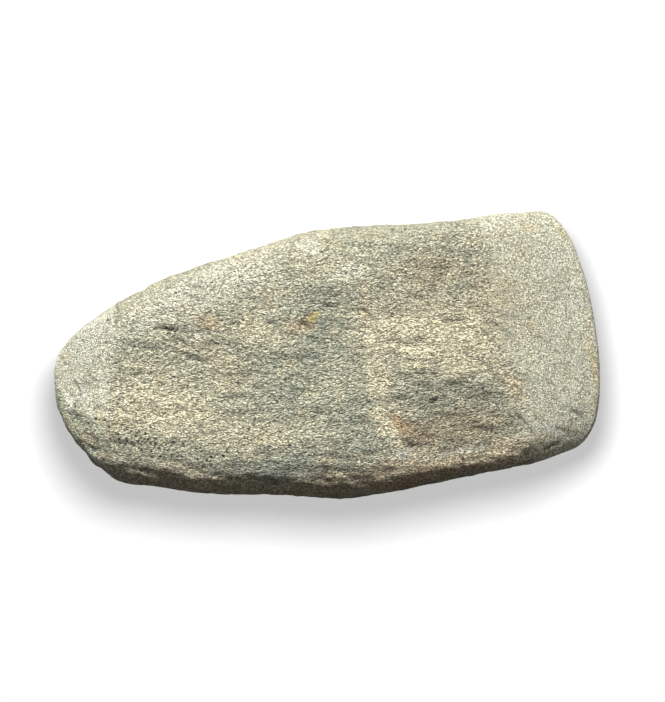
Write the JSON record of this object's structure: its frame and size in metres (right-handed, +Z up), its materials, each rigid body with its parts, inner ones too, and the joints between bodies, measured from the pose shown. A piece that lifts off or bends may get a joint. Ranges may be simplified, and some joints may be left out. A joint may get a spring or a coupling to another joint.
{
  "type": "polished stone axe head",
  "caption": "Polished stone axe head with a rounded butt, ground faces and a bowed cutting edge, lying flat.",
  "frame": {"origin": "on the surface it lies on, under the middle of its outline", "axes": "+X from the butt to the cutting edge, +Y across the width, +Z up out of the upper face"},
  "size_m": [0.1198, 0.0588, 0.0341],
  "materials": {
    "stone": "grainy grey-green stone, weathered buff in patches, ground smooth near the cutting edge, pecked and worn elsewhere"
  },
  "bodies": {
    "root": {"axe_head": "stone"}
  },
  "joints": []
}
